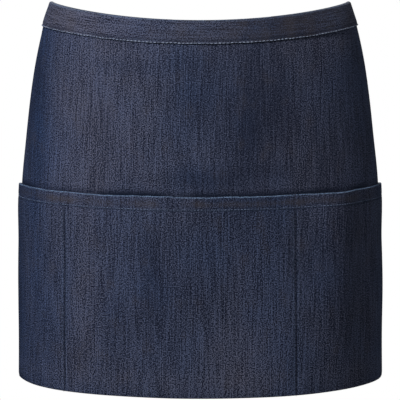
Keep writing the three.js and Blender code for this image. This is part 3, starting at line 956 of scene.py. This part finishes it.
band_places = both_sides(
    spaced((0, HALF - 0.001, BAND_COLUMN), (HALF - 0.001, HALF + BAND_OVERRUN, 0.0005))
)
n_ring, n_places = len(band_down), len(band_places)
exposed = (band_off > BAND_OUTER - 0.0001) | (band_off < BAND_INNER + 0.0001)
# Round the band in rows and along it in columns
row_down, row_bare = band_down[:, None], (band_side * exposed)[:, None]
above_rim = BAND_HEIGHT - row_down
stitch_dip = hump(above_rim - BAND_STITCH_UP - 0.0008, 0.0024)
band_pucker = ripple(band_places, 0.0038, 31)
roll = ripple(band_places, 0.045, 32)
off = band_off[:, None] + row_bare * (
    BAND_PUCKERS * band_pucker * ease(row_down / 0.006)
    - BAND_GROOVE * stitch_dip * (1 + 0.5 * band_pucker)
    + BAND_ROLL * roll * hump(row_down - 0.012, 0.009)
)
edge_wave = BAND_EDGE_WAVE * ripple(band_places, 0.0041, 33)
down = row_down * (1 - BAND_END_LIFT * ease((band_places - 0.110) / 0.060))
down = down + edge_wave * ease((row_down - 0.017) / 0.005)
along = np.broadcast_to(band_places, off.shape)
band_points, band_outward = on_form(along, np.maximum(down, 0), off)
ring = np.arange(n_ring)[:, None]
j = np.arange(n_places - 1)
first = (ring * n_places + j).ravel()
second = ((ring + 1) % n_ring * n_places + j).ravel()
band_faces = np.stack([first, second, second + 1, first + 1], axis=1).tolist()
band_uv = np.stack([along, np.broadcast_to(around[:, None], off.shape)], axis=-1)

# Worn pale on the fold and, towards the left, at the lower rim; painted shade above the stitches
rim_wear = 0.27 * (1 - 0.7 * ease((band_places - 0.02) / 0.05))
rim_wear = rim_wear * np.abs(row_bare) * hump(above_rim - 0.0004, 0.0011)
band_wear = 0.32 * hump(row_down, 0.0022) * (0.7 + 0.5 * band_pucker)
band_wear = band_wear + rim_wear * uneven(band_places, 0.5, 1.0, 0.0032, 34)
band_shade = 0.50 * hump(above_rim - 0.0031, 0.0018) * uneven(band_places, 0.8, 0.4, 0.018, 35)
# Fades along the band, with painted light at its right end where the lamps leave it dark
band_fade = 0.04 + bands(BAND_FADES_AND_LIGHT, band_places)
band_brown = 0.18 + 0.37 * hump(band_places - 0.105, 0.130)
denim_band = denim("denim_along", False, 8.1)


def closed_at_ends(piece, ring_size, places):
    """Closes the two open ends of a lofted ring with a cap each."""
    shape = bmesh.new()
    shape.from_mesh(piece.data)
    shape.verts.ensure_lookup_table()
    for place in (0, places - 1):
        loop = [shape.verts[i * places + place] for i in range(ring_size)]
        edges = [shape.edges.get((a, b)) for a, b in zip(loop, loop[1:] + loop[:1])]
        filled = bmesh.ops.triangle_fill(shape, use_beauty=True, edges=edges)
        for face in [f for f in filled["geom"] if isinstance(f, bmesh.types.BMFace)]:
            face.smooth = False
    bmesh.ops.recalc_face_normals(shape, faces=shape.faces)
    shape.to_mesh(piece.data)
    shape.free()
    turn_outwards(piece)


band = cloth_mesh(
    "waistband_strip",
    band_points.reshape(-1, 3),
    band_faces,
    band_uv.reshape(-1, 2),
    denim_band,
    fade=np.broadcast_to(band_fade, off.shape).ravel(),
    wear=np.clip(band_wear, 0, 1).ravel(),
    shade=band_shade.ravel(),
    brown=np.broadcast_to(band_brown, off.shape).ravel(),
)
closed_at_ends(band, n_ring, n_places)
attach(band, "root")
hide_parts("waistband")

band_row = nearest(outside, BAND_HEIGHT - BAND_STITCH_UP)
inside_row = len(outside) + len(fold_angles)
inside_row += nearest(inside, BAND_HEIGHT - BAND_STITCH_UP)
band_lines = [
    (band_points[band_row] + 0.00016 * band_outward[band_row])[2:-2],
    (band_points[inside_row] - 0.00016 * band_outward[inside_row])[2:-2],
]
stitched("band_stitches", band_lines, grey_thread, 0.0036, 0.0033, 0.0009, 4)


# Ties
# Each tie is a strip folded in on itself and stitched flat, which runs on from an end
# of the waistband, round the back, into the knot.

TIE_WIDTH = 0.020
TIE_THICKNESS = 0.0022
TIE_STITCH_IN = 0.0022
KNOT_WIDTH = 0.026
KNOT_HEIGHT = 0.025
KNOT_DEPTH = 0.017
KNOT_DROP = 0.015
TIE_ENTERS = 0.4
TIE_RUMPLE = 0.0004
TIE_PUCKERS = 0.00010
TIE_GROOVE = 0.00018
UP = np.array([0.0, 0.0, 1.0])

knot_drop = KNOT_DROP / APRON_LENGTH
knot_a = HIP_BREADTH / 2 * table_value(BREADTH, knot_drop)
knot_b = HIP_DEPTH / 2 * table_value(DEPTH, knot_drop)
knot_angle = np.pi - abs(TURN) / knot_a
knot_level = SIDE_EDGE_Z - KNOT_DROP - dip_at(knot_angle, knot_drop)
KNOT_BACK = np.array([knot_a * np.sin(knot_angle), -knot_b * np.cos(knot_angle), knot_level])
KNOT_OUT = np.array([np.sin(knot_angle) / knot_a, -np.cos(knot_angle) / knot_b, 0.0])
KNOT_OUT /= np.linalg.norm(KNOT_OUT)
KNOT_SIDE = np.cross(KNOT_OUT, UP)
KNOT_MIDDLE = KNOT_BACK + KNOT_OUT * KNOT_DEPTH / 2


def unit(vectors):
    return vectors / np.linalg.norm(vectors, axis=-1, keepdims=True)


# The strip's section: places across it and in its thickness, as shares
FACE_STEPS = 12
CREASE_COUNT = 3
across_share = np.concatenate(
    [np.linspace(-0.5, 0.5, FACE_STEPS), np.linspace(0.5, -0.5, FACE_STEPS)]
)
side_share = np.repeat([1.0, -1.0], FACE_STEPS)
width_place = across_share * TIE_WIDTH
edge_in = TIE_WIDTH / 2 - np.abs(width_place)


def tube_faces(stations, ring):
    """Quads round a tube of points that are numbered ring by ring."""
    i, k = np.arange(stations - 1)[:, None], np.arange(ring)
    first = (i * ring + k).ravel()
    second = (i * ring + (k + 1) % ring).ravel()
    return np.stack([first, second, second + ring, first + ring], axis=1).tolist()


def ribbon(name, places, across, out, gather=1.0, creases=0.0, seed=0):
    """A flat stitched strip along a path. gather narrows it at each station, and creases
    raises folds along it there. Gives the piece and its two rows of stitches."""
    steps = np.linalg.norm(np.diff(places, axis=0), axis=1)
    walked_length = np.concatenate([[0], np.cumsum(steps)])
    stations, ring = len(places), len(across_share)
    gather = np.broadcast_to(gather, stations)[:, None]
    creases = np.broadcast_to(creases, stations)[:, None]
    wall = TIE_THICKNESS / 2 * (0.3 + 0.7 * rounded(edge_in, 0.0011))
    wall = wall - TIE_GROOVE * hump(edge_in - TIE_STITCH_IN, 0.0018)
    sway = ripple(walked_length, 0.040, seed + 1)[:, None]
    rumple = TIE_RUMPLE * ripple(walked_length, 0.019, seed)[:, None]
    rumple = rumple * np.sin(across_share * 5 + sway * 2)
    folds = creases * np.cos(across_share * 2 * np.pi * CREASE_COUNT)
    pucker = TIE_PUCKERS * ripple(walked_length, 0.0036, seed + 2)[:, None]
    height = side_share * (wall + pucker) + rumple + folds
    points = (
        places[:, None, :]
        + across[:, None, :] * (width_place * gather)[..., None]
        + out[:, None, :] * height[..., None]
    )
    strip_uv = np.stack(
        np.broadcast_arrays(walked_length[:, None], width_place * side_share), axis=-1
    )
    piece = cloth_mesh(
        name,
        points.reshape(-1, 3),
        tube_faces(stations, ring),
        strip_uv.reshape(-1, 2) + seed * 0.37,
        denim_band,
        wear=np.tile(0.35 * hump(edge_in, 0.0013), stations),
        # Painted shade beside the stitch grooves
        shade=np.tile(0.3 * hump(edge_in - 0.0034, 0.0009), stations),
    )
    shape = bmesh.new()
    shape.from_mesh(piece.data)
    shape.verts.ensure_lookup_table()
    for start in (0, (stations - 1) * ring):
        for step in range(FACE_STEPS - 1):
            a, b = start + step, start + ring - 1 - step
            corners = [shape.verts[n] for n in (a, a + 1, b - 1, b)]
            shape.faces.new(corners)
    bmesh.ops.recalc_face_normals(shape, faces=shape.faces)
    shape.to_mesh(piece.data)
    shape.free()
    turn_outwards(piece)
    lines = []
    for column in (1, FACE_STEPS - 2):
        lines.append(points[:, column] + out * 0.00008)
        lines.append(points[:, ring - 1 - column] - out * 0.00008)
    return piece, lines


def bezier(p0, p1, p2, p3, t):
    """Points of a smooth curve, and its way at each."""
    t = t[:, None]
    place = (1 - t) ** 3 * p0 + 3 * t * (1 - t) ** 2 * p1 + 3 * t**2 * (1 - t) * p2 + t**3 * p3
    way = (1 - t) ** 2 * (p1 - p0) + 2 * t * (1 - t) * (p2 - p1) + t**2 * (p3 - p2)
    return place, unit(way)


tie_lines = []
for side, word in ((-1, "left"), (1, "right")):
    start = HALF + BAND_OVERRUN + LAY
    tie_from = on_form(side * start, BAND_HEIGHT / 2, band_middle)[0]
    tie_to = KNOT_BACK + KNOT_SIDE * side * (KNOT_WIDTH / 2 + LAY)
    tie_to = tie_to + KNOT_OUT * KNOT_DEPTH * TIE_ENTERS
    before = on_form(side * (start - 0.004), BAND_HEIGHT / 2, band_middle)[0]
    reach = np.linalg.norm(tie_to - tie_from) / 3
    tie_bend = tie_from + unit(tie_from - before) * reach
    tie_arrive = tie_to + KNOT_SIDE * side * reach
    t = np.linspace(0, 1, 40)
    places, ways = bezier(tie_from, tie_bend, tie_arrive, tie_to, t)
    top, foot = (on_form(side * start, level, band_middle)[0] for level in (0.0, BAND_HEIGHT))
    band_up = unit(top - foot)
    across = unit(band_up * (1 - t)[:, None] + UP * t[:, None])
    out = unit(np.cross(ways, across)) * -side
    pinched = ease((t - 0.55) / 0.45)
    tie, lines = ribbon(
        "tie_strip_" + word,
        places,
        across,
        out,
        gather=1 - 0.22 * pinched,
        creases=0.0008 * pinched,
        seed=40 + side,
    )
    tie_lines += lines
    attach(tie, "root")
    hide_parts("tie_" + word)


# Bow
# The two ties are knotted behind in a bow: a full knot, two loops and two free ends,
# which hang over each other.

LOOP_LENGTH = 0.086
LOOP_SPREAD = 0.017
LOOP_DROOP = 0.45
LOOP_LIFT = 1.6 * TIE_THICKNESS
LEG_GAP = 0.75 * TIE_THICKNESS
LOOP_FULLNESS = 0.45
TAIL_LENGTH = 0.185
TAIL_SPLAY = 0.13
TAIL_WAVE = 0.0035
TAIL_TURNS = 5
TAIL_ASIDE = 0.2 * TIE_WIDTH
TAIL_LAYER = 0.7 * TIE_THICKNESS

for side, word in ((-1, "left"), (1, "right")):
    way = KNOT_SIDE * side * np.cos(LOOP_DROOP) - UP * np.sin(LOOP_DROOP)
    across_one = unit(np.cross(way, KNOT_OUT))
    root = KNOT_MIDDLE + KNOT_OUT * LOOP_LIFT + KNOT_SIDE * side * (
        KNOT_WIDTH / 2 + LAY + TIE_WIDTH / 2 * np.sin(LOOP_DROOP)
    )
    t = np.linspace(0, 1, 121)
    turned = 2 * np.pi * t
    reach = LOOP_LENGTH / 2 * (1 - np.cos(turned))
    belly = np.sin(turned) * (1 - LOOP_FULLNESS * np.cos(turned))
    legs = np.sign(0.5 - t) * LEG_GAP * np.cos(turned / 2) ** 2
    lift = LOOP_SPREAD / 2 * (belly + np.sin(turned / 2) ** 2) + legs
    places = root + way * reach[:, None] + KNOT_OUT * lift[:, None]
    ways = unit(np.gradient(places, axis=0))
    across = np.broadcast_to(across_one, places.shape)
    out = unit(np.cross(ways, across))
    pinched = 1 - ease(np.minimum(t, 1 - t) / 0.16)
    loop, lines = ribbon(
        "bow_strip_loop_" + word,
        places,
        across,
        out,
        gather=1 - 0.20 * pinched,
        creases=0.0006 * pinched,
        seed=50 + side,
    )
    tie_lines += lines
    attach(loop, "root")
    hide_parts("bow_loop_" + word)

    way = KNOT_SIDE * side * np.sin(TAIL_SPLAY) - UP * np.cos(TAIL_SPLAY)
    root = KNOT_MIDDLE - UP * (KNOT_HEIGHT / 2 + LAY) + KNOT_SIDE * side * TAIL_ASIDE
    root = root + KNOT_OUT * side * TAIL_LAYER
    t = np.linspace(0, 1, 100)
    swing = TAIL_WAVE * np.sin(t * TAIL_TURNS)
    places = root + way * (t * TAIL_LENGTH)[:, None] + KNOT_OUT * swing[:, None]
    ways = unit(np.gradient(places, axis=0))
    across = np.broadcast_to(unit(np.cross(KNOT_OUT, way)), places.shape)
    out = unit(np.cross(ways, across))
    pinched = 1 - ease(t / 0.12)
    tail, lines = ribbon(
        "bow_strip_end_" + word,
        places,
        across,
        out,
        gather=1 - 0.18 * pinched,
        creases=0.0006 * pinched,
        seed=60 + side,
    )
    tie_lines += lines
    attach(tail, "root")
    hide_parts("bow_tail_" + word)

# The knot: a wrap over the middle stands proud of the lobes at its sides
KNOT_ROWS = 49
KNOT_AROUND = 72
KNOT_SQUARENESS = 0.62
WRAP_HALF = 0.0078
WRAP_SLANT = 0.16
LOBE_SET_IN = 0.15
FURROWS = 0.055
WRAP_FOLDS = 0.018
polar = np.linspace(0, np.pi, KNOT_ROWS)[1:-1, None]
turn_about = np.linspace(0, 2 * np.pi, KNOT_AROUND, endpoint=False)[None, :]


def squared(value):
    """Fills a round share out towards the corners of the knot."""
    return np.sign(value) * np.abs(value) ** KNOT_SQUARENESS / 2


def knot_point(sideways, outwards, upwards):
    """Places a point of the knot from shares of its three sizes."""
    across_at = squared(sideways) * KNOT_WIDTH
    out_at = squared(outwards) * KNOT_DEPTH
    up_at = squared(upwards) * KNOT_HEIGHT
    off_wrap = np.abs(across_at - WRAP_SLANT * up_at) - WRAP_HALF
    lobe = ease(off_wrap / 0.0016)
    about = np.arctan2(up_at, out_at)
    furrows = np.sin(about * 7 + 1.3 * np.sign(across_at)) * lobe * FURROWS
    wrap_folds = np.sin(across_at * 900 + 2.0 * np.sin(about)) * (1 - lobe) * WRAP_FOLDS
    share = 1 - LOBE_SET_IN * lobe + furrows + wrap_folds
    return (
        KNOT_MIDDLE
        + KNOT_SIDE * (across_at * (1 - 0.02 * lobe))[..., None]
        + KNOT_OUT * (out_at * share)[..., None]
        + UP * (up_at * share)[..., None]
    )


knot_grid = knot_point(
    np.cos(polar),
    np.sin(polar) * np.cos(turn_about),
    np.sin(polar) * np.sin(turn_about),
)
tips = knot_point(np.array([1.0, -1.0]), np.zeros(2), np.zeros(2))
knot_points = np.concatenate([knot_grid.reshape(-1, 3), tips])
knot_faces = tube_faces(KNOT_ROWS - 2, KNOT_AROUND)
last = (KNOT_ROWS - 3) * KNOT_AROUND
for m in range(KNOT_AROUND):
    n = (m + 1) % KNOT_AROUND
    knot_faces.append([len(knot_points) - 2, n, m])
    knot_faces.append([len(knot_points) - 1, last + m, last + n])
knot_uv = np.stack([knot_points @ KNOT_SIDE, knot_points @ UP], axis=-1)[:, ::-1]
knot = cloth_mesh("knot_strip", knot_points, knot_faces, knot_uv, denim_band)
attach(knot, "root")
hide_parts("bow_knot")
stitched("tie_stitches", tie_lines, navy_thread, 0.0032, 0.0026, 0.0005, 5)


# Floor, light and camera
# A pale floor under the hanging apron, a soft lamp high on the left in front, a weak
# one on the right, one at each side and one behind, and a camera level with the waist.

FLOOR_Z = -0.95
FLOOR_DARK = (0.78, 0.78, 0.77, 1)
FLOOR_LIGHT = (0.84, 0.84, 0.83, 1)
WHITE = (1, 1, 1, 1)
SKY_BLUE = (0.66, 0.84, 1.0, 1)
corners = [(x * 4, y * 4, FLOOR_Z) for x, y in ((-1, -1), (1, -1), (1, 1), (-1, 1))]
floor_mesh = bpy.data.meshes.new("floor")
floor_mesh.from_pydata(corners, [], [(0, 1, 2, 3)])
floor = bpy.data.objects.new("floor", floor_mesh)
bpy.context.scene.collection.objects.link(floor)
pale = Finish("pale_floor")
speckle = pale.noise(pale.node("TexCoord").outputs["Object"], (3.0, 3.0, 1.0), 3.0)
paint = pale.mix((speckle + 0.5).clamped(), FLOOR_DARK, FLOOR_LIGHT)
matt = pale.node(
    "BsdfPrincipled",
    sockets={
        "Base Color": paint,
        "Roughness": 0.8,
        "Emission Color": WHITE,
        "Emission Strength": 0.55,
    },
)
pale.node("OutputMaterial", sockets={"Surface": matt.outputs[0]})
floor_mesh.materials.append(pale.material)
floor.visible_diffuse = False
floor.visible_glossy = False

world = bpy.data.worlds.new("studio")
world.use_nodes = True
sky = Nodes(world.node_tree, "ShaderNode")
seen = sky.node("Background", sockets={"Color": WHITE, "Strength": 1.0})
lit = sky.node("Background", sockets={"Color": SKY_BLUE, "Strength": 0.13})
choose = sky.node(
    "MixShader",
    sockets={
        "Fac": sky.node("LightPath").outputs["Is Camera Ray"],
        "Shader": lit.outputs[0],
        "Shader_001": seen.outputs[0],
    },
)
sky.node("OutputWorld", sockets={"Surface": choose.outputs[0]})
bpy.context.scene.world = world
bpy.context.scene.view_settings.view_transform = "Standard"


LAMPS_AIM = Vector((0, 0, -0.14))


def lamp(name, place, size, power, colour):
    """A round soft lamp that points at the middle of the apron."""
    light = bpy.data.lights.new(name, "AREA")
    light.shape = "DISK"
    light.size = size
    light.energy = power
    light.color = colour
    holder = bpy.data.objects.new(name, light)
    holder.location = place
    holder.rotation_euler = (LAMPS_AIM - Vector(place)).to_track_quat("-Z", "Y").to_euler()
    bpy.context.scene.collection.objects.link(holder)


lamp("key", (-0.95, -1.50, 1.15), 0.45, 56, (1.0, 0.99, 0.98))
lamp("fill", (1.9, -1.9, 0.1), 1.4, 11, (1.0, 0.97, 0.94))
lamp("left", (-2.4, 0.3, 0.3), 0.8, 10, (0.26, 0.48, 1.0))
lamp("right", (2.4, 0.5, 0.4), 0.8, 3, (1.0, 0.97, 0.95))
lamp("back", (0.0, 2.4, 1.2), 0.9, 45, (1.0, 1.0, 1.0))

CAMERA_PLACE = Vector((0, -5.5, 0.011))
CAMERA_AIM = Vector((0, 0, -0.151))
lens = bpy.data.cameras.new("camera")
lens.sensor_width = 36
lens.lens = 550
camera = bpy.data.objects.new("camera", lens)
camera.location = CAMERA_PLACE
camera.rotation_euler = (CAMERA_AIM - CAMERA_PLACE).to_track_quat("-Z", "Y").to_euler()
bpy.context.scene.collection.objects.link(camera)
bpy.context.scene.camera = camera
